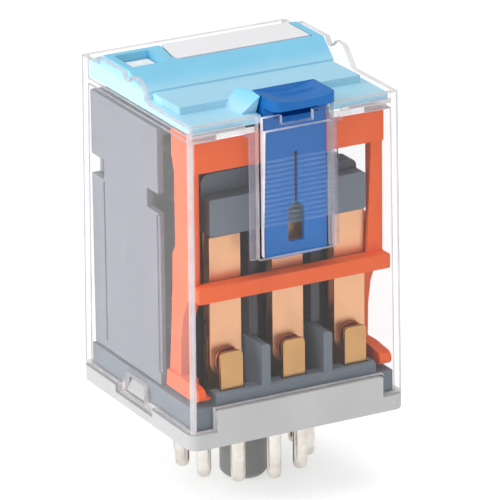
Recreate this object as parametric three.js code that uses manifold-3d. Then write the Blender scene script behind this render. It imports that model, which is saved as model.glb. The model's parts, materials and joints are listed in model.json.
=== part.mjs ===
// Plug-in relay with three change-over poles: a clear snap-on cover over a moulded base with
// eleven round pins, a coil with a hinged armature, a rocking actuator frame that bends three
// contact springs, and a test lever in the front wall.
//
// Units are millimetres and +Z is up. The lever is on the -Y side, and X runs along that front.
// The origin is the centre of the pin circle in the seating plane, the base plate's underside.

import * as THREE from 'three';
import { mergeVertices } from 'three/addons/utils/BufferGeometryUtils.js';
import { ConvexGeometry } from 'three/addons/geometries/ConvexGeometry.js';
import Module from 'manifold-3d';

// ---------------------------------------------------------------- driving dimensions

const HALF_WIDTH = 19.35; // cover, at the seating plane
const HALF_DEPTH = 19.15;
const DRAFT = 0.0072; // each wall leans in by this much per millimetre of height
const WALL = 0.95;
const GAP = 0.3; // clearance between neighbouring pieces

const COVER_BOTTOM = 2.9;
const RIM_FRONT = 54.0; // top edge of the front wall
const RIM_BACK = 55.9;
const EAR_TOP = 57.1; // the side walls stand higher beside the raised block
const RIB_TOP = 52.0; // inner rib that the top insert rests on
const RIB_BOTTOM = 51.1;
const RIB_REACH = 0.55;
const TALL = 60; // above everything, for blanks and cutting tools

const TONGUE_X = 0.2; // flexing strip in the front wall
const TONGUE_HALF = 6.1;
const SLOT = 0.8; // slot on each side of it
const TONGUE_ROOT = 30.0;
const GRIP_RIBS = 14;
const GRIP_FIRST = 35.7;
const GRIP_PITCH = 0.83;

const PLATE_TOP = 2.6; // base plate
const PLATE_HALF_WIDTH = 19.6;
const PLATE_HALF_DEPTH = 19.4;
const LIP_LEFT = -14.8; // raised lip in the middle of its front edge
const LIP_RIGHT = 15.5;
const LIP_TOP = 6.2;
const HOOK_FRONT = -1.9; // snap hooks on both sides of the base plate
const HOOK_BACK = 3.9;

const PIN_COUNT = 11;
const PIN_CIRCLE = 10.6; // radius of the pin circle
const PIN_RADIUS = 1.2;
const PIN_LENGTH = 11.2; // below the seating plane
const PIN_TOP = 4.6;
const PIN_HOLE = 1.5;
const POST_RADIUS = 3.95;
const POST_LENGTH = 14.0;
const KEY_REACH = 5.1;

const BLOCK_TOP = 6.4; // base block
const LEDGE_TOP = 8.4;
const PARTITION_TOP = 15.2;
const POLES = [-10.7, 0.6, 11.9]; // X of the three poles
const PARTITIONS = [-5.05, 6.25];
const WORKS_X = 0.5; // the works sit slightly to the right of the cover's middle

const SPRING_ROOT = 34.0; // the contact springs hang from here
const SPRING_BOTTOM = 10.4;
const SPRING_HALF = 2.8;
const SPRING_FRONT = -14.6;
const SPRING_THICK = 0.3;
const CONTACT_Z = 12.9; // centre of the contacts
const TERMINAL_HALF = 2.0;

const FOOT = { y: -16.4, z: 8.35, r: 1.1 }; // rocking axis of the actuator frame
const HINGE = { y: -6.3, z: 38.4 }; // armature hinge
const COIL_Y = 4.5; // coil axis

const LEVER_X = 0.8;
const LEVER_HALF = 5.65;
const LEVER_BACK = -13.3;
const LEVER_FRONT = -20.9;
const LEVER_TOP = 56.6;
const LEVER_CREASE = -16.7; // where the thumb hollow's two halves meet

const INSERT_HALF = 17.7;
const INSERT_BOTTOM = 52.3;
const BLOCK_FRONT = 3.8; // raised block of the insert
const BLOCK_BACK = 12.9;

// ---------------------------------------------------------------- solids

const wasm = await Module();
wasm.setup();

function welded(geometry) {
  const bare = geometry.clone();
  bare.deleteAttribute('normal');
  bare.deleteAttribute('uv');
  return mergeVertices(bare, 1e-4);
}

function toSolid(geometry) {
  const mesh = welded(geometry);
  return new wasm.Manifold(new wasm.Mesh({
    numProp: 3,
    vertProperties: Float32Array.from(mesh.attributes.position.array),
    triVerts: Uint32Array.from(mesh.index.array),
  }));
}

function toGeometry(solid) {
  const { vertProperties, triVerts } = solid.getMesh();
  const geometry = new THREE.BufferGeometry();
  geometry.setAttribute('position', new THREE.BufferAttribute(vertProperties, 3));
  geometry.setIndex(new THREE.BufferAttribute(triVerts, 1));
  return geometry;
}

function join(...parts) {
  return toGeometry(parts.map(toSolid).reduce((a, b) => a.add(b)));
}

function cut(body, ...tools) {
  return toGeometry(tools.map(toSolid).reduce((a, b) => a.subtract(b), toSolid(body)));
}

function common(a, b) {
  return toGeometry(toSolid(a).intersect(toSolid(b)));
}

function box(x0, x1, y0, y1, z0, z1) {
  const geometry = new THREE.BoxGeometry(x1 - x0, y1 - y0, z1 - z0);
  return geometry.translate((x0 + x1) / 2, (y0 + y1) / 2, (z0 + z1) / 2);
}

// The X limits of a box on the left (side -1) or the right (side 1), from two distances.
function sided(side, from, to) {
  return [side * from, side * to].sort((a, b) => a - b);
}

function outline(points) {
  return new THREE.Shape(points.map(([a, b]) => new THREE.Vector2(a, b)));
}

// A rectangle with one radius for all corners, or one for each: lower left, lower right,
// upper right, upper left.
function roundedRect(a0, a1, b0, b1, radius) {
  const [r0, r1, r2, r3] = Array.isArray(radius) ? radius : [radius, radius, radius, radius];
  const shape = new THREE.Shape();
  shape.moveTo(a0 + r0, b0);
  shape.lineTo(a1 - r1, b0);
  if (r1) shape.absarc(a1 - r1, b0 + r1, r1, -Math.PI / 2, 0);
  shape.lineTo(a1, b1 - r2);
  if (r2) shape.absarc(a1 - r2, b1 - r2, r2, 0, Math.PI / 2);
  shape.lineTo(a0 + r3, b1);
  if (r3) shape.absarc(a0 + r3, b1 - r3, r3, Math.PI / 2, Math.PI);
  shape.lineTo(a0, b0 + r0);
  if (r0) shape.absarc(a0 + r0, b0 + r0, r0, Math.PI, Math.PI * 1.5);
  return shape;
}

function extrude(shape, depth, curveSegments = 4) {
  return new THREE.ExtrudeGeometry(shape, { depth, bevelEnabled: false, curveSegments });
}

// A shape in X and Y, extruded from z0 up to z1.
function alongZ(shape, z0, z1) {
  return extrude(shape, z1 - z0).translate(0, 0, z0);
}

// A shape in Y and Z, extruded from x0 to x1.
function alongX(shape, x0, x1) {
  const turn = new THREE.Matrix4().makeBasis(
    new THREE.Vector3(0, 1, 0),
    new THREE.Vector3(0, 0, 1),
    new THREE.Vector3(1, 0, 0),
  );
  return extrude(shape, x1 - x0).applyMatrix4(turn).translate(x0, 0, 0);
}

// A shape in X and Z, extruded from y0 to y1.
function alongY(shape, y0, y1) {
  return extrude(shape, y1 - y0).rotateX(Math.PI / 2).translate(0, y1, 0);
}

// A solid of revolution about a line along Z, from [radius, z] points that run upwards.
function turned(profile, x, y, segments = 16) {
  const points = profile.map(([r, z]) => new THREE.Vector2(r, z));
  return new THREE.LatheGeometry(points, segments).rotateX(Math.PI / 2).translate(x, y, 0);
}

function cylinderZ(x, y, z0, z1, radius, segments = 16) {
  return turned([[0, z0], [radius, z0], [radius, z1], [0, z1]], x, y, segments);
}

function cylinderY(x, z, y0, y1, radius, segments = 16) {
  return cylinderZ(0, 0, y0, y1, radius, segments).rotateX(-Math.PI / 2).translate(x, 0, z);
}

function cylinderX(y, z, x0, x1, radius, segments = 16) {
  return cylinderZ(0, 0, x0, x1, radius, segments).rotateY(Math.PI / 2).translate(0, y, z);
}

// Leans the walls of a moulding in towards the top.
function drafted(geometry) {
  const position = geometry.attributes.position;
  for (let i = 0; i < position.count; i += 1) {
    const lean = DRAFT * position.getZ(i);
    position.setX(i, position.getX(i) * (1 - lean / HALF_WIDTH));
    position.setY(i, position.getY(i) * (1 - lean / HALF_DEPTH));
  }
  return geometry;
}

// ---------------------------------------------------------------- materials

const finish = {
  clear: { color: 0xe8ecf0, roughness: 0.08, metalness: 0, transparent: true, opacity: 0.3 },
  lightBlue: { color: 0x8cd0f0, roughness: 0.45, metalness: 0 },
  label: { color: 0xf3f3f5, roughness: 0.6, metalness: 0 },
  lens: { color: 0xf4f6f8, roughness: 0.2, metalness: 0 },
  leverBlue: { color: 0x1f5fb4, roughness: 0.4, metalness: 0 },
  orange: { color: 0xe8602f, roughness: 0.45, metalness: 0 },
  darkGrey: { color: 0x6b7580, roughness: 0.5, metalness: 0 },
  lightGrey: { color: 0xbcbdbc, roughness: 0.5, metalness: 0 },
  frameGrey: { color: 0x9ea0aa, roughness: 0.5, metalness: 0 },
  barrier: { color: 0x45434a, roughness: 0.6, metalness: 0 },
  copper: { color: 0xd09468, roughness: 0.3, metalness: 1 },
  contactRed: { color: 0xb0603c, roughness: 0.35, metalness: 1 },
  gold: { color: 0xcfa660, roughness: 0.35, metalness: 1 },
  nickel: { color: 0xcfcac2, roughness: 0.3, metalness: 1 },
  steel: { color: 0x9a9a98, roughness: 0.4, metalness: 1 },
  winding: { color: 0x8a3f22, roughness: 0.5, metalness: 0.4 },
  bobbin: { color: 0xd8d4c8, roughness: 0.5, metalness: 0 },
  board: { color: 0x2e6b45, roughness: 0.6, metalness: 0 },
};

const relay = new THREE.Group();
relay.name = 'plug_in_relay';

function add(name, geometry, look) {
  const material = new THREE.MeshStandardMaterial({ ...finish[look], flatShading: true });
  const mesh = new THREE.Mesh(geometry, material);
  mesh.name = name;
  relay.add(mesh);
  return mesh;
}

// ---------------------------------------------------------------- cover and its tongue

const SNAP_WINDOW = { front: -2.4, back: 4.4, bottom: 2.5, top: 5.6 };
const SNAP_TAB = { front: -5.4, back: 6.9, bottom: 1.7 };

// Side view of the cover: straight bottom with the snap tab, ears and a notch on top.
function coverSide() {
  return outline([
    [-20, COVER_BOTTOM],
    [SNAP_TAB.front, COVER_BOTTOM],
    [SNAP_TAB.front, SNAP_TAB.bottom],
    [SNAP_TAB.back, SNAP_TAB.bottom],
    [SNAP_TAB.back, COVER_BOTTOM],
    [20, COVER_BOTTOM],
    [20, RIM_BACK],
    [13.9, RIM_BACK],
    [13.1, EAR_TOP],
    [3.8, EAR_TOP],
    [3.2, EAR_TOP - 1.0],
    [2.3, EAR_TOP - 1.35],
    [1.3, EAR_TOP - 0.6],
    [0.5, EAR_TOP + 0.15],
    [-1.8, EAR_TOP + 0.15],
    [-2.7, EAR_TOP - 0.4],
    [-5.1, RIM_FRONT],
    [-20, RIM_FRONT],
  ]);
}

function makeCover() {
  const outer = alongZ(roundedRect(-HALF_WIDTH, HALF_WIDTH, -HALF_DEPTH, HALF_DEPTH, 0.9), 0, TALL);
  const inX = HALF_WIDTH - WALL;
  const inY = HALF_DEPTH - WALL;
  const inner = alongZ(roundedRect(-inX, inX, -inY, inY, 0.4), -1, TALL + 1);
  const shell = cut(common(outer, alongX(coverSide(), -20, 20)), inner);
  const bite = 0.4; // how far a rib is buried in its wall
  const sideRib = (side) => {
    const reach = sided(side, inX + bite, inX - RIB_REACH);
    return box(...reach, -inY - bite, inY + bite, RIB_BOTTOM, RIB_TOP);
  };
  const slotLeft = TONGUE_X - TONGUE_HALF - SLOT;
  const slotRight = TONGUE_X + TONGUE_HALF + SLOT;
  const frontRib = (x0, x1, z0, z1, depth) => box(x0, x1, -inY - bite, -inY + depth, z0, z1);
  const solid = join(
    shell,
    sideRib(-1),
    sideRib(1),
    frontRib(-inX, slotLeft, INSERT_BOTTOM + 0.4, RIM_FRONT, 0.3),
    frontRib(slotRight, inX, INSERT_BOTTOM + 0.4, RIM_FRONT, 0.3),
    frontRib(-14, slotLeft, 51.2, 52.1, 0.5),
    frontRib(slotRight, 14, 51.2, 52.1, 0.5),
    frontRib(-inX, -13.5, RIB_BOTTOM, RIB_TOP, 1.0),
    frontRib(13.5, inX, RIB_BOTTOM, RIB_TOP, 1.0),
    frontRib(slotLeft - 1.9, slotLeft, 50.6, RIM_FRONT, 0.3),
    frontRib(slotRight, slotRight + 1.9, 50.6, RIM_FRONT, 0.3),
    frontRib(slotLeft - 1.2, slotLeft, TONGUE_ROOT, 51, 0.4),
    frontRib(slotRight, slotRight + 1.2, TONGUE_ROOT, 51, 0.4),
  );
  const window = (side) => {
    const { front, back, bottom, top } = SNAP_WINDOW;
    return box(...sided(side, HALF_WIDTH + 1, inX - 1), front, back, bottom, top);
  };
  return drafted(cut(
    solid,
    box(slotLeft, slotRight, -20, -17, TONGUE_ROOT, TALL),
    box(LIP_LEFT - GAP, LIP_RIGHT + GAP, -20, -17, 0, LIP_TOP + GAP),
    window(-1),
    window(1),
  ));
}

// The tongue grows thicker towards a ledge just under its notched top edge.
function makeTongue() {
  const outer = -HALF_DEPTH;
  const inner = outer + WALL;
  const bottom = TONGUE_ROOT + GAP;
  const top = RIM_FRONT - 0.45;
  const wedge = { from: 34, to: 51.5, proud: 0.85 };
  const slope = (z) => outer - (wedge.proud * (z - wedge.from)) / (wedge.to - wedge.from);
  const side = [
    [inner, bottom],
    [inner, top],
    [outer, top],
    [outer, wedge.to],
    [slope(wedge.to), wedge.to],
  ];
  for (let i = GRIP_RIBS - 1; i >= 0; i -= 1) {
    const z = GRIP_FIRST + i * GRIP_PITCH;
    side.push([slope(z + 0.2), z + 0.2], [slope(z) - 0.14, z], [slope(z - 0.2), z - 0.2]);
  }
  side.push([outer, wedge.from], [outer, bottom]);
  const edges = [TONGUE_X - TONGUE_HALF, TONGUE_X + TONGUE_HALF];
  const strip = alongX(outline(side.reverse()), ...edges);
  return drafted(cut(strip, box(-2.35, 3.4, -21, -17, 51.95, TALL)));
}

add('cover', makeCover(), 'clear');
add('cover_tongue', makeTongue(), 'clear');

// ---------------------------------------------------------------- top insert, label and lens

const STRIP_TOP = 53.6;
const STEP_Y = -10.8;
const STEP_TOP = 54.9;
const BLOCK_TOP_Z = 57.2;
const INSERT_FRONT = -17.1;
const INSERT_BACK = 17.4;
const LABEL = { x0: -7.4, x1: 16.3, y0: 4.8, y1: 13.3, floor: 56.5 }; // open at the back
const WINDOW = { x0: -16.4, x1: -10.2, y0: 5.0, y1: 11.6 };

// The label and its recess flare to the left, towards a cut front corner.
function labelShape(inset) {
  const { x0, x1, y0, y1 } = LABEL;
  return outline([
    [x0 - 0.4 + inset, y0 + inset],
    [x1 - inset, y0 + inset],
    [x1 - inset, y1 - inset],
    [x0 + inset, y1 - inset],
    [x0 - 1.2 + inset, y0 + 1.8],
    [x0 - 1.1 + inset, y0 + 0.7 + inset / 2],
  ]);
}

function makeInsert() {
  const slab = box(-INSERT_HALF, INSERT_HALF, INSERT_FRONT, INSERT_BACK, INSERT_BOTTOM, STRIP_TOP);
  const ledge = alongX(outline([
    [STEP_Y, STRIP_TOP - 0.5],
    [0, STRIP_TOP - 0.5],
    [0, STEP_TOP - 0.25],
    [STEP_Y, STEP_TOP],
  ]), -16.3, 16.3);
  const block = alongX(outline([
    [-1.6, STRIP_TOP - 0.5],
    [INSERT_BACK, STRIP_TOP - 0.5],
    [INSERT_BACK, 55.3],
    [BLOCK_BACK + 0.9, 55.3],
    [BLOCK_BACK, BLOCK_TOP_Z],
    [BLOCK_FRONT, BLOCK_TOP_Z],
    [-1.6, STEP_TOP + 0.12],
  ]), -INSERT_HALF, INSERT_HALF);
  const guardX = LEVER_X - LEVER_HALF - GAP;
  const guard = new ConvexGeometry([
    [-8.6, STEP_Y + 0.6, STRIP_TOP - 0.3],
    [-8.0, -15.1, STRIP_TOP - 0.3],
    [guardX, -15.3, STRIP_TOP - 0.3],
    [guardX, STEP_Y + 1.4, STRIP_TOP - 0.3],
    [guardX, -16.8, LEVER_TOP + 0.1],
    [guardX, -13.1, LEVER_TOP + 0.3],
    [guardX - 1.3, STEP_Y - 0.3, LEVER_TOP],
    [guardX, STEP_Y + 1.1, STEP_TOP - 0.4],
  ].map((p) => new THREE.Vector3(...p)));
  // The slope under the block narrows towards its foot on the right.
  const taper = alongZ(outline([
    [16.4, -2.4],
    [19, -2.4],
    [19, BLOCK_FRONT],
    [INSERT_HALF, BLOCK_FRONT],
  ]), STRIP_TOP, TALL);
  return cut(
    join(slab, ledge, block, guard),
    taper,
    box(guardX, LEVER_X + LEVER_HALF + GAP, -18, LEVER_BACK + GAP, 50, TALL),
    alongZ(labelShape(0), LABEL.floor, TALL),
    box(WINDOW.x0, WINDOW.x1, WINDOW.y0, WINDOW.y1, 50, TALL),
  );
}

add('top_insert', makeInsert(), 'lightBlue');

add('label_strip', alongZ(labelShape(GAP), LABEL.floor + GAP, BLOCK_TOP_Z + 0.1), 'label');
add('indicator_lens', alongZ(roundedRect(
  WINDOW.x0 + GAP,
  WINDOW.x1 - GAP,
  WINDOW.y0 + GAP,
  WINDOW.y1 - GAP,
  0.3,
), 53.0, 55.9), 'lens');

add('indicator_board', box(-16.0, -4.0, 4.0, 13.0, 50.5, 51.3), 'board');
add('indicator_led', join(
  box(-14.9, -11.7, 7.3, 9.3, 51.4, 52.1),
  cylinderZ(-13.3, 8.3, 52.0, 52.6, 0.8, 12),
), 'lens');

// ---------------------------------------------------------------- test lever

function makeLever() {
  const plateFront = -17.3;
  const plateBack = -16.4;
  const x0 = LEVER_X - LEVER_HALF;
  const x1 = LEVER_X + LEVER_HALF;
  const plateShape = outline([
    [x0 + 1.5, 29.2],
    [x1 - 1.1, 29.2],
    [x1 - 0.1, 29.8],
    [x1 - 0.1, 52.6],
    [x0 + 0.1, 52.6],
    [x0 + 0.1, 29.8],
  ]);
  const plate = alongY(plateShape, plateFront, plateBack);
  const stem = box(x0 + 0.1, x1 - 0.1, plateFront, LEVER_BACK - 0.2, 51.8, 55.0);
  const capShape = roundedRect(x0, x1, LEVER_FRONT, LEVER_BACK, [1.3, 1.3, 0.3, 0.3]);
  const cap = alongZ(capShape, 54.9, LEVER_TOP);
  // The thumb hollow is a shallow trough whose back end slopes.
  const hollow = (y0, y1, depth) => common(
    cylinderY(LEVER_X, LEVER_TOP + 25.6 - depth, y0, y1 + 3, 25.6, 96),
    alongX(outline([
      [y0, LEVER_TOP - 2],
      [y1 - 2, LEVER_TOP - 2],
      [y1 + 2, LEVER_TOP + 2],
      [y0, LEVER_TOP + 2],
    ]), x0 - 1, x1 + 1),
  );
  const body = join(plate, stem, cut(
    cap,
    hollow(LEVER_FRONT - 1, LEVER_CREASE, 0.45),
    hollow(LEVER_CREASE - 0.1, LEVER_BACK - 0.15, 0.6),
  ));
  return cut(
    body,
    box(LEVER_X - 3.9, LEVER_X + 4.2, -19, -15.4, 52.7, 54.8),
    alongY(roundedRect(LEVER_X - 1.45, LEVER_X + 1.45, 31.6, 37.9, [0.3, 0.3, 1.0, 1.0]), -19, -15),
    box(LEVER_X - 0.3, LEVER_X + 0.3, -19, -15, 37.5, 46.7),
  );
}

add('test_lever', makeLever(), 'leverBlue');

// ---------------------------------------------------------------- base plate, post and pins

// The first pin stands at the middle of the front, and the next ones follow to the right.
function pinPlace(index) {
  const angle = (2 * Math.PI * index) / PIN_COUNT;
  return [PIN_CIRCLE * Math.sin(angle), -PIN_CIRCLE * Math.cos(angle)];
}

const pinIndices = [...Array(PIN_COUNT).keys()];
const pinHoles = (z0, z1) => pinIndices.map((i) => cylinderZ(...pinPlace(i), z0, z1, PIN_HOLE, 12));

function makeBasePlate() {
  const [a, b] = [PLATE_HALF_WIDTH, PLATE_HALF_DEPTH];
  const shape = roundedRect(-a, a, -b, b, 2.0);
  const flank = HALF_WIDTH - WALL - 0.35; // inside the cover's side wall
  const recess = (side) => {
    const reach = sided(side, HALF_WIDTH + 1, flank);
    return box(...reach, SNAP_TAB.front - GAP, SNAP_TAB.back + GAP, SNAP_TAB.bottom - GAP, 4);
  };
  const hook = (side) => {
    const shapeXZ = outline([
      [flank - 1.2, PLATE_TOP - 0.5],
      [flank, PLATE_TOP - 0.5],
      [flank, 2.85],
      [flank + 1.1, 2.85],
      [flank, 5.0],
      [flank - 1.2, 5.0],
    ]);
    const wedge = alongY(shapeXZ, HOOK_FRONT, HOOK_BACK);
    return side > 0 ? wedge : wedge.rotateZ(Math.PI).translate(0, HOOK_FRONT + HOOK_BACK, 0);
  };
  const lip = alongY(
    roundedRect(LIP_LEFT, LIP_RIGHT, PLATE_TOP - 0.5, LIP_TOP, [0, 0, 0.5, 0.5]),
    -PLATE_HALF_DEPTH,
    -PLATE_HALF_DEPTH + 0.9,
  );
  return cut(
    join(cut(alongZ(shape, 0, PLATE_TOP), recess(-1), recess(1)), lip, hook(-1), hook(1)),
    ...pinHoles(-1, 4),
    cylinderZ(0, 0, -1, 4, POST_RADIUS + GAP, 32),
    box(-1.3, 1.3, 0, KEY_REACH + GAP, -1, 4),
  );
}

add('base_plate', makeBasePlate(), 'lightGrey');

const postProfile = [
  [0, -POST_LENGTH],
  [POST_RADIUS - 0.65, -POST_LENGTH],
  [POST_RADIUS, -POST_LENGTH + 0.8],
  [POST_RADIUS, PLATE_TOP],
  [0, PLATE_TOP],
];

add('guide_post', join(
  turned(postProfile, 0, 0, 32),
  box(-1.0, 1.0, 2, KEY_REACH, -POST_LENGTH + 1.4, PLATE_TOP),
), 'darkGrey');

const pinProfile = [
  [0, -PIN_LENGTH],
  [0.7, -PIN_LENGTH],
  [1.05, -PIN_LENGTH + 0.3],
  [PIN_RADIUS, -PIN_LENGTH + 0.9],
  [PIN_RADIUS, PIN_TOP],
  [0, PIN_TOP],
];

pinIndices.forEach((index) => {
  const number = String(index + 1).padStart(2, '0');
  add(`pin_${number}`, turned(pinProfile, ...pinPlace(index), 12), 'nickel');
});

// ---------------------------------------------------------------- base block

function makeBaseBlock() {
  const slab = box(-18.05, 18.05, -17.8, 17.8, COVER_BOTTOM, BLOCK_TOP);
  const ledgeShape = roundedRect(-17.7, -15.2, BLOCK_TOP - 0.5, LEDGE_TOP, [0, 0, 0.2, 0.7]);
  const ledge = alongX(ledgeShape, -14.2, 15.0);
  const walls = PARTITIONS.map((x) => alongY(
    roundedRect(x - 0.8, x + 0.8, BLOCK_TOP - 0.5, PARTITION_TOP, [0, 0, 0.7, 0.2]),
    -17.6,
    -11.0,
  ));
  const hookRoom = (side) => box(...sided(side, 19, 16.3), HOOK_FRONT - 0.4, HOOK_BACK + 0.4, 2, 5.4);
  const terminalSlots = POLES.map((x) => box(x - 2.3, x + 2.3, -16.9, -15.0, 7.0, 9));
  return cut(
    join(slab, ledge, ...walls),
    ...pinHoles(2, PIN_TOP + GAP),
    hookRoom(-1),
    hookRoom(1),
    ...terminalSlots,
  );
}

add('base_block', makeBaseBlock(), 'darkGrey');

// ---------------------------------------------------------------- contacts, one set per pole

const springBack = SPRING_FRONT + SPRING_THICK;
const rowOf = (x) => [x - TERMINAL_HALF, x + TERMINAL_HALF];

// A blade with a round contact on the side that faces the moving contact.
function frontTerminal(x) {
  const blade = alongY(roundedRect(...rowOf(x), 7.3, 14.7, [0, 0, 0.8, 0.8]), -16.6, -15.9);
  return join(blade, cylinderY(x, CONTACT_Z, -16.0, -15.5, 1.3, 16));
}

function rearTerminal(x) {
  const bladeShape = roundedRect(...rowOf(x), BLOCK_TOP + GAP, 16.4, [0, 0, 0.8, 0.8]);
  return join(alongY(bladeShape, -12.0, -11.3), cylinderY(x, CONTACT_Z, -12.4, -11.9, 1.3, 16));
}

function contactSpring(x) {
  const edges = [x - SPRING_HALF, x + SPRING_HALF];
  const shape = roundedRect(...edges, SPRING_BOTTOM, SPRING_ROOT - GAP, [2.2, 2.2, 0, 0]);
  const strip = alongY(shape, SPRING_FRONT, springBack);
  return cut(strip, cylinderY(x, CONTACT_Z, -15, -14, 0.75, 12));
}

// A rivet with a wide head on both sides of the spring.
function movingContact(x) {
  return join(
    cylinderY(x, CONTACT_Z, -15.2, SPRING_FRONT - 0.05, 2.2, 20),
    cylinderY(x, CONTACT_Z, -15.0, -14.0, 0.6, 12),
    cylinderY(x, CONTACT_Z, springBack + 0.05, springBack + 0.5, 1.4, 16),
  );
}

POLES.forEach((x, index) => {
  const n = index + 1;
  add(`front_terminal_${n}`, frontTerminal(x), 'gold');
  add(`rear_terminal_${n}`, rearTerminal(x), 'gold');
  add(`contact_spring_${n}`, contactSpring(x), 'copper');
  add(`moving_contact_${n}`, movingContact(x), 'contactRed');
  const bar = box(x - 1.5, x + 1.5, -10.4, -9.8, BLOCK_TOP + GAP, SPRING_ROOT - GAP);
  add(`common_bar_${n}`, bar, 'copper');
});

// The holder is a moulded block in two steps, the lower one further forward.
function makeHolder() {
  const x0 = WORKS_X - 14.1;
  const x1 = WORKS_X + 14.1;
  return join(
    alongY(roundedRect(x0, x1, SPRING_ROOT, 40.2, 0.4), -15.2, -9.0),
    alongY(roundedRect(x0, PARTITIONS[1], 39.5, 43.6, [0, 0, 0.4, 1.5]), -12.3, -9.0),
    alongY(roundedRect(PARTITIONS[1] - 1, x1, 39.5, 41.6, [0, 0, 1.2, 0]), -12.3, -9.0),
  );
}

add('spring_holder', makeHolder(), 'darkGrey');

function makeBarrier() {
  const top = SPRING_ROOT - GAP;
  const wall = box(WORKS_X - 14.4, WORKS_X + 14.4, -8.6, -7.6, BLOCK_TOP + GAP, top);
  const ribs = PARTITIONS.map((x) => box(x - 0.8, x + 0.8, -13.5, -8.0, PARTITION_TOP + GAP, top));
  return join(wall, ...ribs);
}

add('contact_barrier', makeBarrier(), 'barrier');

// ---------------------------------------------------------------- actuator frame

const FRAME_TOP = 51.0;

// Side view of one arm: a straight column over a leg that leans back.
function armSide() {
  return outline([
    [-15.6, FRAME_TOP],
    [-15.5, 25.8],
    [-13.4, 23.4],
    [-11.7, 20.0],
    [-10.9, 15.9],
    [-10.6, 7.0],
    [-6.6, 7.0],
    [-7.4, 14.7],
    [-8.2, 24.0],
    [-8.4, 30.0],
    [-9.4, 31.4],
    [-9.4, 44.0],
    [-8.6, 46.5],
    [-8.6, FRAME_TOP],
  ].reverse());
}

// The foot runs forward from the leg to the round toe the frame rocks on.
function footSide() {
  return outline([
    [FOOT.y, FOOT.z + FOOT.r],
    [FOOT.y, FOOT.z - FOOT.r],
    [-14.6, 7.0],
    [-6.6, 7.0],
    [-7.0, 9.8],
    [-12.6, 9.9],
  ]);
}

function makeActuator() {
  const left = [WORKS_X - 17.1, WORKS_X - 15.0];
  const right = [WORKS_X + 14.9, WORKS_X + 17.0];
  const splay = 0.55; // the feet stand this much further out than the arms
  const arms = [[left, -splay], [right, splay]].map(([[x0, x1], out]) => join(
    alongX(armSide(), x0, x1),
    alongX(footSide(), x0 + out, x1 + out),
    cylinderX(FOOT.y, FOOT.z, x0 + out, x1 + out, FOOT.r, 16),
  ));
  const beam = box(left[0], right[1], -16.1, -14.9, 45.3, FRAME_TOP);
  const bar = alongY(roundedRect(left[0] - 0.3, right[1] + 0.4, 23.9, 26.4, 0.3), -17.4, -14.9);
  // The arms widen inwards towards the bar.
  const web = ([x0, x1], inner, outer) => alongY(outline([
    [x0 - inner, 26.0],
    [x1 + outer, 26.0],
    [x1, 43.0],
    [x0, 43.0],
  ]), -15.6, -14.9);
  // The left arm is thin at the front, above and below the bar.
  const relief = box(left[0] + 0.7, left[1] + 1, -18, -13.4, 8, 45.3);
  // The right arm is a flat bar between its leg and the beam.
  const flat = box(right[0] - 1, right[1] + 1, -13.8, -8, 31.4, 45.3);
  const [leftArm, rightArm] = arms;
  return join(cut(leftArm, relief), cut(rightArm, flat), beam, bar, web(right, 0.8, 0));
}

add('actuator_frame', makeActuator(), 'orange');

// ---------------------------------------------------------------- coil, magnet and housing

function makeCoilFrame() {
  const half = 17.7;
  const wall = 1.1;
  const back = 17.5;
  const bottom = BLOCK_TOP + GAP;
  const outer = box(-half, half, -5.8, back, bottom, 50.2);
  const inner = box(-half + wall, half - wall, -7, back - wall, bottom - 1, 49.0);
  const sideCuts = (side) => [
    box(...sided(side, half - wall - 0.4, 18), 13.2, 18, 36.0, 39.3),
    box(...sided(side, half - wall - 0.4, 18), -7, -2.0, 36.0, 39.2),
    box(...sided(side, half - 0.3, 18), 13.0, 13.4, 8.0, 35.5),
    box(...sided(side, half - 0.3, 18), -7, -5.2, bottom + 2, 35.5),
  ];
  const opening = box(half - wall - 0.4, 18, -7, 3.0, 38.5, 48.2); // in the right wall
  return cut(outer, inner, ...sideCuts(-1), ...sideCuts(1), opening);
}

add('coil_frame', makeCoilFrame(), 'frameGrey');

function squareFlange(z0, z1) {
  return alongZ(roundedRect(-10.5, 10.5, COIL_Y - 9.4, COIL_Y + 9.2, 1), z0, z1);
}

add('coil_bobbin', cut(
  join(
    squareFlange(11.2, 12.4),
    squareFlange(34.0, 35.2),
    cylinderZ(0, COIL_Y, 11.2, 35.2, 5.4, 24),
  ),
  cylinderZ(0, COIL_Y, 10, 37, 4.4, 24),
), 'bobbin');

const windingProfile = [[5.7, 12.7], [8.8, 12.7], [8.8, 33.7], [5.7, 33.7], [5.7, 12.7]];
add('coil_winding', turned(windingProfile, 0, COIL_Y, 32), 'winding');

add('iron_core', cylinderZ(0, COIL_Y, 11.1, 36.8, 4.1, 24), 'steel');

// The yoke runs under the coil and up its front, where the armature hinges on its edge.
add('yoke', alongX(outline([
  [HINGE.y - 0.9, 8.8],
  [13.0, 8.8],
  [13.0, 10.8],
  [HINGE.y + 0.9, 10.8],
  [HINGE.y + 0.9, HINGE.z - 0.5],
  [HINGE.y - 0.9, HINGE.z - 0.5],
]), -8, 8), 'steel');

// A bell crank: the plate lies over the core, the arm stands in front and its finger
// reaches the actuator frame's top beam.
function makeArmature() {
  const bottom = HINGE.z + 0.5;
  const plate = box(-7, 7, HINGE.y - 0.9, 13.6, bottom, bottom + 1.5);
  const arm = alongX(outline([
    [-8.4, bottom],
    [-7.0, bottom],
    [-7.0, 48.6],
    [-14.5, 48.6],
    [-14.5, 47.2],
    [-8.4, 47.2],
  ]), WORKS_X - 3, WORKS_X + 3);
  return join(plate, arm);
}

add('armature', makeArmature(), 'steel');

// Compression spring between the bobbin and the armature's far end.
class Helix extends THREE.Curve {
  constructor(radius, z0, z1, turns) {
    super();
    Object.assign(this, { radius, z0, z1, turns });
  }

  getPoint(t, target = new THREE.Vector3()) {
    const angle = 2 * Math.PI * this.turns * t;
    const z = this.z0 + (this.z1 - this.z0) * t;
    return target.set(this.radius * Math.cos(angle), this.radius * Math.sin(angle), z);
  }
}

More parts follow.
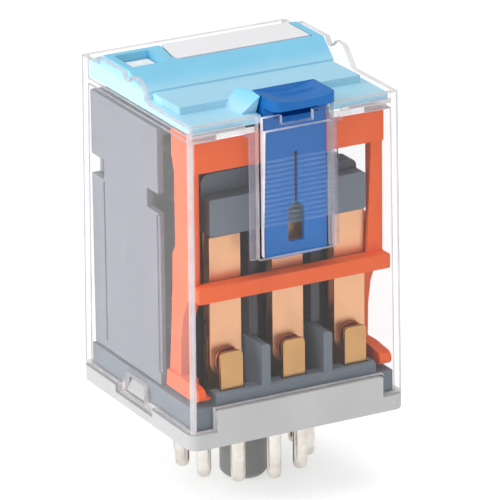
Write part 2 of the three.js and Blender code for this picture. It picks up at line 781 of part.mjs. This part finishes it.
function makeArmatureSpring() {
  const wire = new THREE.Shape().absarc(0, 0, 0.2, 0, 2 * Math.PI);
  const path = new Helix(1.3, 35.8, 38.3, 3);
  const options = { steps: 36, curveSegments: 3, bevelEnabled: false, extrudePath: path };
  return new THREE.ExtrudeGeometry(wire, options).translate(0, 12.0, 0);
}

add('armature_spring', makeArmatureSpring(), 'steel');

[['left', -3.9], ['right', 3.9]].forEach(([side, x]) => {
  add(`coil_terminal_${side}`, box(x - 1.2, x + 1.2, 14.1, 14.8, BLOCK_TOP + GAP, 13.0), 'gold');
});

export default relay;
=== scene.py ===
"""Looks for the plug-in relay, built round its CAD frame.

Metres, +Z up, the test lever on the -Y side, the seating plane at z = 0.
"""

import json
import math

import bmesh
import bpy
from mathutils import Matrix, Vector


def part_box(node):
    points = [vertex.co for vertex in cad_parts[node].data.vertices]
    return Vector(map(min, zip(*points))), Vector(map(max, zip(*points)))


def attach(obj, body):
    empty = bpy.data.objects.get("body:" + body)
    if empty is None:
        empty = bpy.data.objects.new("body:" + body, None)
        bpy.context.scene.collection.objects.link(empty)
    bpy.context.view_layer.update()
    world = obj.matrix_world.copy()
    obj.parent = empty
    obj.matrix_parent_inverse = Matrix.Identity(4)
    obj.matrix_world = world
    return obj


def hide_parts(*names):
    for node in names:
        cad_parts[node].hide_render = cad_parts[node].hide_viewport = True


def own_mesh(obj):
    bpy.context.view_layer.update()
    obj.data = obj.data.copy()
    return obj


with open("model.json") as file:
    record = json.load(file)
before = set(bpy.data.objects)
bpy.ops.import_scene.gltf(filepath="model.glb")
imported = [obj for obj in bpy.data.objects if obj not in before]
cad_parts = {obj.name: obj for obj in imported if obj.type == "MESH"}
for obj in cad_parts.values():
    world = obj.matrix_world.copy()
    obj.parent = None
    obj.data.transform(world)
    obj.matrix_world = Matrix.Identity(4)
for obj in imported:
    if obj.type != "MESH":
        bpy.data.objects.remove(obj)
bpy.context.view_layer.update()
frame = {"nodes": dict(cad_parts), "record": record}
MM = 0.001


# ---------------------------------------------------------------- node helpers

class Look:
    """A small builder for one procedural material."""

    def __init__(self, name):
        self.material = bpy.data.materials.new(name)
        self.material.use_nodes = True
        self.tree = self.material.node_tree
        self.tree.nodes.clear()
        self.out = self.tree.nodes.new("ShaderNodeOutputMaterial")
        self.place = self.tree.nodes.new("ShaderNodeTexCoord").outputs["Object"]

    def node(self, kind, **values):
        made = self.tree.nodes.new(kind)
        for key, value in values.items():
            setattr(made, key, value)
        return made

    def link(self, source, target):
        self.tree.links.new(source, target)

    def stretched(self, x, y, z):
        mapping = self.node("ShaderNodeMapping")
        self.link(self.place, mapping.inputs["Vector"])
        mapping.inputs["Scale"].default_value = (x, y, z)
        return mapping.outputs["Vector"]

    def noise(self, scale, detail=3.0, rough=0.55, place=None):
        made = self.node("ShaderNodeTexNoise")
        self.link(place or self.place, made.inputs["Vector"])
        made.inputs["Scale"].default_value = scale
        made.inputs["Detail"].default_value = detail
        made.inputs["Roughness"].default_value = rough
        return made.outputs["Fac"]

    def ranged(self, source, low, high, start=0.3, end=0.7):
        made = self.node("ShaderNodeMapRange")
        self.link(source, made.inputs["Value"])
        made.inputs["From Min"].default_value = start
        made.inputs["From Max"].default_value = end
        made.inputs["To Min"].default_value = low
        made.inputs["To Max"].default_value = high
        return made.outputs["Result"]

    def tinted(self, source, dark, light, start=0.3, end=0.7):
        made = self.node("ShaderNodeValToRGB")
        self.link(source, made.inputs["Fac"])
        first, last = made.color_ramp.elements
        first.position, last.position = start, end
        first.color, last.color = (*dark, 1), (*light, 1)
        return made.outputs["Color"]

    def total(self, a, b, share=0.5):
        made = self.node("ShaderNodeMix", data_type="FLOAT")
        made.inputs["Factor"].default_value = share
        self.link(a, made.inputs["A"])
        self.link(b, made.inputs["B"])
        return made.outputs["Result"]

    def bump(self, source, depth_mm, strength=1.0, below=None):
        made = self.node("ShaderNodeBump")
        made.inputs["Strength"].default_value = strength
        made.inputs["Distance"].default_value = depth_mm * MM
        self.link(source, made.inputs["Height"])
        if below is not None:
            self.link(below, made.inputs["Normal"])
        return made.outputs["Normal"]

    def principled(self, **values):
        made = self.node("ShaderNodeBsdfPrincipled")
        for key, value in values.items():
            made.inputs[key.replace("_", " ")].default_value = value
        return made

    def shown(self, shader):
        self.link(shader, self.out.inputs["Surface"])
        return self.material


def shade_of(colour, factor):
    return tuple(min(1.0, c * factor) for c in colour)


def moulded(name, colour, rough=0.42, grain=1.0, mottle=0.05, sheen=0.5):
    """Injection-moulded plastic: fine spark-eroded grain, faint flow marks and handling scuffs."""
    look = Look(name)
    flow = look.noise(90, 4, place=look.stretched(1.0, 1.0, 0.45))
    fine = look.noise(2600, 2)
    scuffs = look.noise(420, 6, 0.7, place=look.stretched(1.0, 1.0, 3.0))
    shader = look.principled(Specular_IOR_Level=sheen)
    colours = look.tinted(flow, shade_of(colour, 1 - mottle), shade_of(colour, 1 + mottle))
    look.link(colours, shader.inputs["Base Color"])
    look.link(look.ranged(scuffs, rough - 0.07, rough + 0.1), shader.inputs["Roughness"])
    coarse = look.bump(look.noise(260, 3), 0.02 * grain, 0.35)
    look.link(look.bump(fine, 0.008 * grain, 0.5, coarse), shader.inputs["Normal"])
    return look.shown(shader.outputs["BSDF"])


def pale_when_thin(name, thick, thin, low_mm, high_mm, rough=0.36):
    """Moulded plastic whose thin lower parts let more light through and look paler."""
    material = moulded(name, thick, rough)
    nodes, links = material.node_tree.nodes, material.node_tree.links
    shader = next(n for n in nodes if n.type == "BSDF_PRINCIPLED")
    deep = shader.inputs["Base Color"].links[0].from_socket
    split = nodes.new("ShaderNodeSeparateXYZ")
    links.new(nodes.new("ShaderNodeTexCoord").outputs["Object"], split.inputs["Vector"])
    height = nodes.new("ShaderNodeMapRange")
    height.interpolation_type = "SMOOTHSTEP"
    links.new(split.outputs["Z"], height.inputs["Value"])
    height.inputs["From Min"].default_value = low_mm * MM
    height.inputs["From Max"].default_value = high_mm * MM
    blend = nodes.new("ShaderNodeMix")
    blend.data_type = "RGBA"
    links.new(height.outputs["Result"], blend.inputs["Factor"])
    blend.inputs["A"].default_value = (*thin, 1)
    links.new(deep, blend.inputs["B"])
    links.new(blend.outputs["Result"], shader.inputs["Base Color"])
    return material


def rolled(name, colour, rough=0.28, along=(1.0, 1.0, 0.06), tarnish=None, depth=0.006):
    """Sheet or wire metal with rolling marks along one direction and uneven tarnish."""
    look = Look(name)
    lines = look.noise(2200, 4, 0.6, place=look.stretched(*along))
    patches = look.noise(240, 4, 0.6)
    shader = look.principled(Metallic=1.0)
    dark = tarnish or shade_of(colour, 0.82)
    look.link(look.tinted(patches, dark, colour, 0.25, 0.6), shader.inputs["Base Color"])
    both = look.total(lines, patches, 0.35)
    look.link(look.ranged(both, rough - 0.08, rough + 0.14), shader.inputs["Roughness"])
    look.link(look.bump(lines, depth, 0.6), shader.inputs["Normal"])
    return look.shown(shader.outputs["BSDF"])


def clear(name, haze=0.03, colour=(0.93, 0.93, 0.95), tint=(0.98, 0.98, 0.985), gloss=0.033):
    """Clear moulded plastic: see-through with a gloss that grows at glancing angles, a little haze,
    a slightly wavy surface and fine scratches. Lamps shine straight through it."""
    look = Look(name)
    wave = look.bump(look.noise(55, 2), 0.012, 0.5)
    scratch = look.noise(700, 6, 0.75, place=look.stretched(1.0, 1.0, 0.12))
    body = look.principled(IOR=1.05, Transmission_Weight=1.0, Roughness=0.0)
    body.inputs["Base Color"].default_value = (*tint, 1)
    body.inputs["Specular IOR Level"].default_value = 0.0
    shine = look.node("ShaderNodeBsdfGlossy")
    look.link(look.ranged(scratch, 0.02, 0.1, 0.45, 0.85), shine.inputs["Roughness"])
    look.link(wave, shine.inputs["Normal"])
    facing = look.node("ShaderNodeLayerWeight")
    facing.inputs["Blend"].default_value = 0.5
    steep = look.node("ShaderNodeMath", operation="POWER")
    look.link(facing.outputs["Facing"], steep.inputs[0])
    steep.inputs[1].default_value = 5.0
    share = look.node("ShaderNodeMath", operation="MULTIPLY_ADD")
    look.link(steep.outputs["Value"], share.inputs[0])
    share.inputs[1].default_value = 1.0 - gloss
    share.inputs[2].default_value = gloss
    glossy = look.node("ShaderNodeMixShader")
    look.link(share.outputs["Value"], glossy.inputs[0])
    look.link(body.outputs["BSDF"], glossy.inputs[1])
    look.link(shine.outputs["BSDF"], glossy.inputs[2])
    milk = look.node("ShaderNodeBsdfDiffuse")
    milk.inputs["Color"].default_value = (*colour, 1)
    hazy = look.node("ShaderNodeMixShader")
    look.link(look.ranged(look.noise(160, 4), haze * 0.7, haze * 1.3), hazy.inputs[0])
    look.link(glossy.outputs["Shader"], hazy.inputs[1])
    look.link(milk.outputs["BSDF"], hazy.inputs[2])
    through = look.node("ShaderNodeBsdfTransparent")
    through.inputs["Color"].default_value = (*shade_of(tint, 0.96), 1)
    path = look.node("ShaderNodeLightPath")
    final = look.node("ShaderNodeMixShader")
    look.link(path.outputs["Is Shadow Ray"], final.inputs[0])
    look.link(hazy.outputs["Shader"], final.inputs[1])
    look.link(through.outputs["BSDF"], final.inputs[2])
    return look.shown(final.outputs["Shader"])


looks = {
    "clear_plastic": clear("clear plastic", 0.005, gloss=0.018),
    "light_blue_plastic": pale_when_thin(
        "light-blue plastic", (0.225, 0.62, 0.86), (0.41, 0.71, 0.865), 54.2, 56.4
    ),
    "label": moulded("label card", (0.86, 0.86, 0.875), 0.6, 0.5, 0.015, 0.3),
    "lens": clear("lens", 0.85, (0.95, 0.95, 0.96)),
    "board": moulded("circuit board", (0.03, 0.14, 0.06), 0.45),
    "blue_plastic": moulded("blue plastic", (0.003, 0.15, 0.50), 0.36, 0.8, sheen=0.3),
    "orange_plastic": moulded("orange plastic", (0.87, 0.12, 0.014), 0.42, sheen=0.3),
    "dark_grey_plastic": moulded("dark grey plastic", (0.145, 0.175, 0.21), 0.45),
    "post_plastic": moulded("post plastic", (0.225, 0.228, 0.22), 0.45),
    "light_grey_plastic": moulded("light-grey plastic", (0.535, 0.54, 0.54), 0.45),
    "housing_grey_plastic": moulded("housing plastic", (0.21, 0.215, 0.255), 0.5),
    "barrier_plastic": moulded("barrier plastic", (0.06, 0.055, 0.065), 0.55),
    "bobbin_plastic": moulded("bobbin plastic", (0.68, 0.65, 0.58), 0.45),
    "winding": rolled("enamelled wire", (0.30, 0.085, 0.03), 0.3, (0.06, 1.0, 1.0)),
    "steel": rolled("zinc plated steel", (0.45, 0.45, 0.43), 0.38),
    "copper": rolled("copper strip", (0.84, 0.46, 0.26), 0.33),
    "contact_metal": rolled("contact rivet", (0.50, 0.17, 0.09), 0.3),
    "gold_plate": rolled("gold coloured plate", (0.62, 0.35, 0.14), 0.34),
    "nickel": rolled("nickel plate", (0.78, 0.75, 0.71), 0.18, tarnish=(0.56, 0.49, 0.42)),
}
# Painted light: a pale grey milky veil standing in for the light bent and reflected at the clear
# plastic's rims, edges and slot sides, and on the tongue's right side.
painted_edge_light = clear("painted edge light", 0.6, (0.68, 0.64, 0.66))
# Painted highlight: a light-blue milky veil on the tongue's grip ribs, where their faces catch the
# light.
painted_rib_highlight = clear("painted rib highlight", 0.14, (0.62, 0.74, 0.95))
# Painted light: a grey-lilac veil on the bands beside the tongue's slots, standing in for the light
# bent by the slot edges.
painted_slot_light = clear("painted slot light", 0.42, (0.44, 0.42, 0.5))
# Painted highlight: a pale veil on the cover's rounded upright corners.
painted_corner_highlight = clear("painted corner highlight", 0.72, (0.66, 0.64, 0.68))
# Painted sheen: extra milky veil on the left-facing walls, standing in for their glancing reflection
# of the bright studio.
painted_left_wall_sheen = clear("painted left wall sheen", 0.045, (0.93, 0.93, 0.95))
# Painted highlight: a nearly white veil on the tongue's ledge, the tongue's left side and the rib
# under the top's front strip.
painted_white_highlight = clear("painted white highlight", 0.92, (0.98, 0.97, 1.0))
slot_of = {row["node"]: row["material_slot"] for row in frame["record"]["subparts"]}
body_of_node = {
    node: body
    for body, nodes in frame["record"]["behaviour"]["bodies"].items()
    for node in nodes
}


# Places on the cover, its tongue and the lever that get a painted highlight, painted sheen or
# painted light, or stay crisp, in mm.
FRONT_WALL_Y = -17
SLOT_X, SLOT_Z = (5, 8.6), (30, 51.5)  # the bands beside the tongue's two slots
SLOT_SIDE_X = 7.3
TOP_RIB_X, TOP_RIB_Z = (7.2, 13.9), (51, 52.05)  # the rib under the top's front strip
WALL_AREA = 8  # square mm; anything smaller is an edge or a rib
SLOT_AREA = 60
LEDGE_Z = 51.2  # the tongue's ledge is above this
GRIP_Y, GRIP_Z = -18.8, (35, 47.2)  # the tongue's grip ribs
LEVER_MIDDLE_X, HOLLOW_HALF_X = 0.8, 5.6
HOLLOW_Y, HOLLOW_FLOOR_Z = (-20.8, -13.35), 55.3
SQUARE_ON = 0.985  # a wall that leans by the moulding draft only
WELD = 2e-6  # metres
FLAT_DEG = 0.6


def within(value, limits):
    return limits[0] < value < limits[1]


# ---------------------------------------------------------------- mesh helpers

def finished(bm, name, node, sharp_deg=32.0):
    """Turns a bmesh into a piece that stands for a CAD node, with clean shading."""
    for face in bm.faces:
        face.smooth = True
    for edge in bm.edges:
        edge.smooth = len(edge.link_faces) == 2 and edge.calc_face_angle(0) < math.radians(sharp_deg)
    mesh = bpy.data.meshes.new(name)
    bm.to_mesh(mesh)
    bm.free()
    piece = bpy.data.objects.new(name, mesh)
    bpy.context.scene.collection.objects.link(piece)
    piece.data.materials.append(looks[slot_of[node]])
    weighted = piece.modifiers.new("even shading", "WEIGHTED_NORMAL")
    weighted.keep_sharp = True
    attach(piece, body_of_node[node])
    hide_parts(node)
    return piece


def cad_bmesh(node):
    """The CAD node's solid with its flat faces merged."""
    bm = bmesh.new()
    bm.from_mesh(frame["nodes"][node].data)
    bmesh.ops.remove_doubles(bm, verts=bm.verts, dist=WELD)
    flat = math.radians(FLAT_DEG)
    bmesh.ops.dissolve_limit(bm, angle_limit=flat, verts=bm.verts, edges=bm.edges)
    return bm


def in_thumb_hollow(edge):
    """Edges inside the lever's hollow, which stay crisp because its rim is so narrow."""
    x, y, z = (edge.verts[0].co + edge.verts[1].co) / (2 * MM)
    inside = abs(x - LEVER_MIDDLE_X) < HOLLOW_HALF_X and within(y, HOLLOW_Y)
    return inside and z > HOLLOW_FLOOR_Z


def rounded(node, width_mm, segments=2, angle_deg=25.0):
    """The CAD node with every corner rounded, as it comes out of a mould or a press."""
    bm = cad_bmesh(node)
    edges = [
        edge for edge in bm.edges
        if len(edge.link_faces) == 2 and edge.calc_face_angle(0) > math.radians(angle_deg)
        and not (node == "test_lever" and in_thumb_hollow(edge))
    ]
    bmesh.ops.bevel(
        bm, geom=edges, offset=width_mm * MM, offset_type="OFFSET", segments=segments,
        profile=0.5, affect="EDGES", clamp_overlap=True,
    )
    return finished(bm, f"{node}_piece", node)


def paint_clear_edges(piece, rule):
    """Rims, corners, ribs and slot edges of clear plastic gather light; that light is painted on
    them as extra materials, and rule picks which face gets which.
    """
    painted_looks = [painted_edge_light, painted_rib_highlight, painted_slot_light, painted_corner_highlight, painted_left_wall_sheen, painted_white_highlight]
    for material in painted_looks:
        piece.data.materials.append(material)
    for face in piece.data.polygons:
        chosen = rule(face)
        if chosen is not None:
            face.material_index = 1 + painted_looks.index(chosen)
    return piece


def cover_rule(face):
    """Big flat walls stay clear, but the left-facing ones get a painted sheen; corners, rims, ribs
    and the bands beside the slots get painted highlights and painted light.
    """
    at = face.center / MM
    upright_wall = max(abs(face.normal.x), abs(face.normal.y)) > SQUARE_ON
    in_front = at.y < FRONT_WALL_Y
    by_slot = in_front and within(at.z, SLOT_Z) and within(abs(at.x), SLOT_X)
    if by_slot and face.area < SLOT_AREA * MM * MM:
        slot_side = abs(face.normal.x) > 0.9 and abs(at.x) < SLOT_SIDE_X
        return painted_edge_light if slot_side else painted_slot_light
    if in_front and within(at.z, TOP_RIB_Z) and within(abs(at.x), TOP_RIB_X):
        return painted_white_highlight
    if upright_wall and face.area > WALL_AREA * MM * MM:
        # The walls facing the left get the painted sheen.
        return painted_left_wall_sheen if face.normal.x < -0.9 else None
    if abs(face.normal.z) < 0.1 and abs(face.normal.x * face.normal.y) > 0.1:
        return painted_corner_highlight
    return painted_edge_light


def tongue_rule(face):
    """The ledge and the lit left side get a nearly white painted highlight, the right side a pale
    painted light, and the grip ribs a faint painted highlight.
    """
    at = face.center / MM
    if face.normal.z > 0.5 and at.z > LEDGE_Z:
        return painted_white_highlight
    if abs(face.normal.x) > 0.6:
        return painted_white_highlight if face.normal.x < 0 else painted_edge_light
    on_rib = at.y < GRIP_Y and within(at.z, GRIP_Z) and abs(face.normal.z) > 0.3
    return painted_rib_highlight if on_rib else None


def revolved(profile_mm, centre_mm, segments, pinch=None, ring=False):
    """A solid of revolution from (radius, z) points; pinch scales the radius by the angle."""
    bm = bmesh.new()
    rows = []
    for radius, z in profile_mm:
        if radius == 0:
            rows.append([bm.verts.new((centre_mm[0] * MM, centre_mm[1] * MM, z * MM))])
            continue
        row = []
        for step in range(segments):
            angle = 2 * math.pi * step / segments
            r = radius * (pinch(angle) if pinch else 1.0)
            x = centre_mm[0] + r * math.cos(angle)
            y = centre_mm[1] + r * math.sin(angle)
            row.append(bm.verts.new((x * MM, y * MM, z * MM)))
        rows.append(row)
    pairs = list(zip(rows, rows[1:]))
    if ring:
        pairs.append((rows[-1], rows[0]))
    for low_row, high_row in pairs:
        for step in range(segments):
            after = (step + 1) % segments
            if len(low_row) == 1:
                bm.faces.new((low_row[0], high_row[after], high_row[step]))
            elif len(high_row) == 1:
                bm.faces.new((low_row[step], low_row[after], high_row[0]))
            else:
                bm.faces.new((low_row[step], low_row[after], high_row[after], high_row[step]))
    bmesh.ops.recalc_face_normals(bm, faces=bm.faces)
    return bm


# ---------------------------------------------------------------- pieces with their own shape

def centre_of(node):
    low_corner, high_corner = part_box(node)
    return [(a + b) / 2 / MM for a, b in zip(low_corner, high_corner)]


def rolled_pin(node, seam_deg):
    """A tube rolled from sheet: an open seam down one side and a drawn-in tip with a dimple."""
    x, y, _ = centre_of(node)
    seam = math.radians(seam_deg)

    def pinch(angle):
        off = (angle - seam + math.pi) % (2 * math.pi) - math.pi
        return 1.0 - 0.13 * math.exp(-((off / 0.075) ** 2))

    profile = [
        (0, -10.7), (0.2, -10.72), (0.34, -10.95), (0.5, -11.13), (0.68, -11.2), (0.88, -11.12),
        (1.03, -10.92), (1.13, -10.6), (1.18, -10.2), (1.2, -9.7), (1.2, -4.0), (1.19, -1.6),
        (1.2, 0.2), (1.2, 4.45), (1.05, 4.6), (0, 4.6),
    ]
    return finished(revolved(profile, (x, y), 72, pinch), f"{node}_piece", node, 50)


def wound_coil(node, turns=44):
    """The winding's outer layer, with a ridge for each turn of wire."""
    x, y, _ = centre_of(node)
    low_z, high_z, inner, outer = 12.7, 33.7, 5.7, 8.8
    pitch = (high_z - low_z) / turns
    profile = [(inner, low_z)]
    for turn in range(turns):
        z = low_z + turn * pitch
        profile += [
            (outer - 0.14, z + 0.02 * pitch), (outer - 0.03, z + 0.22 * pitch),
            (outer, z + 0.5 * pitch), (outer - 0.03, z + 0.78 * pitch),
        ]
    profile += [(outer - 0.14, high_z), (inner, high_z)]
    return finished(revolved(profile, (x, y), 96, ring=True), f"{node}_piece", node, 60)


def coil_spring(node, wire_mm=0.2, radius_mm=1.3, turns=3.0):
    """Round wire wound into a helix, with its first and last turns closed."""
    x, y, _ = centre_of(node)
    (_, _, low_z), (_, _, high_z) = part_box(node)
    low_z, high_z = low_z / MM + wire_mm, high_z / MM - wire_mm
    bm = bmesh.new()
    rows = []
    steps = 120
    for step in range(steps + 1):
        share = step / steps
        angle = 2 * math.pi * turns * share
        climb = min(1.0, max(0.0, (share - 0.12) / 0.76))
        middle = Vector((
            x + radius_mm * math.cos(angle), y + radius_mm * math.sin(angle),
            low_z + (high_z - low_z) * climb,
        ))
        outward = Vector((math.cos(angle), math.sin(angle), 0))
        row = []
        for side in range(10):
            turn = 2 * math.pi * side / 10
            offset = outward * math.cos(turn) + Vector((0, 0, 1)) * math.sin(turn)
            row.append(bm.verts.new((middle + offset * wire_mm) * MM))
        rows.append(row)
    for first, second in zip(rows, rows[1:]):
        for side in range(10):
            after = (side + 1) % 10
            bm.faces.new((first[side], first[after], second[after], second[side]))
    bm.faces.new(rows[0][::-1])
    bm.faces.new(rows[-1])
    bmesh.ops.recalc_face_normals(bm, faces=bm.faces)
    piece = finished(bm, f"{node}_piece", node, 50)
    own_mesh(piece)
    return piece


edge_radius = {
    "cover": 0.08, "cover_tongue": 0.04, "top_insert": 0.1, "label_strip": 0.08,
    "indicator_lens": 0.12, "indicator_board": 0.05, "indicator_led": 0.06, "test_lever": 0.07,
    "base_plate": 0.15, "guide_post": 0.15, "base_block": 0.12, "spring_holder": 0.25,
    "contact_barrier": 0.15, "actuator_frame": 0.13, "coil_frame": 0.15, "coil_bobbin": 0.2,
    "yoke": 0.2, "armature": 0.2, "iron_core": 0.2,
    "coil_terminal_left": 0.1, "coil_terminal_right": 0.1,
}
for pole in (1, 2, 3):
    edge_radius[f"front_terminal_{pole}"] = 0.12
    edge_radius[f"rear_terminal_{pole}"] = 0.12
    edge_radius[f"contact_spring_{pole}"] = 0.05
    edge_radius[f"common_bar_{pole}"] = 0.08
    edge_radius[f"moving_contact_{pole}"] = 0.12
pieces = {node_name: rounded(node_name, width) for node_name, width in edge_radius.items()}
paint_clear_edges(pieces["cover"], cover_rule)
paint_clear_edges(pieces["cover_tongue"], tongue_rule)
for number in range(1, 12):
    rolled_pin(f"pin_{number:02d}", -78 + 47 * number)
wound_coil("coil_winding")
coil_spring("armature_spring")

for node_name, node_object in frame["nodes"].items():
    node_object.data.materials.clear()
    node_object.data.materials.append(looks[slot_of[node_name]])


# ---------------------------------------------------------------- stage, lights and camera

FLOOR_Z = -0.0142  # just under the guide post's tip
FLOOR_HALF = 3.0


def stage_floor():
    half, z = FLOOR_HALF, FLOOR_Z
    mesh = bpy.data.meshes.new("floor")
    mesh.from_pydata(
        [(-half, -half, z), (half, -half, z), (half, half, z), (-half, half, z)], [], [(0, 1, 2, 3)]
    )
    floor = bpy.data.objects.new("floor", mesh)
    bpy.context.scene.collection.objects.link(floor)
    look = Look("white floor")
    shader = look.principled(Roughness=0.9, Emission_Strength=0.54)
    shader.inputs["Base Color"].default_value = (0.66, 0.66, 0.66, 1)
    shader.inputs["Emission Color"].default_value = (1, 1, 1, 1)
    mesh.materials.append(look.shown(shader.outputs["BSDF"]))


def soft_light(name, position, target, size, watts, colour=(1, 1, 1)):
    lamp = bpy.data.lights.new(name, "AREA")
    lamp.shape = "SQUARE"
    lamp.size = size
    lamp.energy = watts
    lamp.color = colour
    made = bpy.data.objects.new(name, lamp)
    made.location = position
    made.rotation_mode = "QUATERNION"
    made.rotation_quaternion = (Vector(target) - Vector(position)).to_track_quat("-Z", "Y")
    bpy.context.scene.collection.objects.link(made)


AZIMUTH = math.radians(-28.06)
ELEVATION = math.radians(19.83)
ROLL = math.radians(-0.736)
TARGET = Vector((0, 0, 0.028))
DISTANCE = 0.8695
LENS_MM = 386.9
SHIFT = (0.01916, -0.03836)


def photo_camera():
    back = Vector((
        math.sin(AZIMUTH) * math.cos(ELEVATION),
        -math.cos(AZIMUTH) * math.cos(ELEVATION),
        math.sin(ELEVATION),
    ))
    right = Vector((math.cos(AZIMUTH), math.sin(AZIMUTH), 0))
    up = back.cross(right)
    rolled_right = right * math.cos(ROLL) + up * math.sin(ROLL)
    rolled_up = up * math.cos(ROLL) - right * math.sin(ROLL)
    data = bpy.data.cameras.new("camera")
    data.sensor_width = 36.0
    data.lens = LENS_MM
    data.shift_x, data.shift_y = SHIFT
    data.clip_start, data.clip_end = 0.05, 20.0
    camera = bpy.data.objects.new("camera", data)
    axes = Matrix((rolled_right, rolled_up, back)).transposed()
    camera.matrix_world = Matrix.Translation(TARGET + back * DISTANCE) @ axes.to_4x4()
    bpy.context.scene.collection.objects.link(camera)
    bpy.context.scene.camera = camera


def white_world():
    """A white studio that is darker towards the right."""
    world = bpy.data.worlds.new("white studio")
    world.use_nodes = True
    nodes, links = world.node_tree.nodes, world.node_tree.links
    background = nodes["Background"]
    background.inputs["Color"].default_value = (1, 1, 1, 1)
    split = nodes.new("ShaderNodeSeparateXYZ")
    links.new(nodes.new("ShaderNodeTexCoord").outputs["Generated"], split.inputs["Vector"])
    side = nodes.new("ShaderNodeMapRange")
    side.interpolation_type = "SMOOTHSTEP"
    links.new(split.outputs["X"], side.inputs["Value"])
    side.inputs["From Min"].default_value = 0.2
    side.inputs["From Max"].default_value = 0.95
    side.inputs["To Min"].default_value = 0.66
    side.inputs["To Max"].default_value = 0.15
    links.new(side.outputs["Result"], background.inputs["Strength"])
    bpy.context.scene.world = world


stage_floor()
white_world()
soft_light("left softbox", (-0.7, 0.15, 0.35), (0, 0, 0.03), 0.5, 2.4)
soft_light("low left softbox", (-0.7, -0.15, 0.1), (0, 0, 0), 0.2, 0.45)
soft_light("top softbox", (0.1, -0.2, 0.9), (0, 0, 0.03), 0.6, 2.5)
photo_camera()
bpy.context.scene.view_settings.view_transform = "Standard"
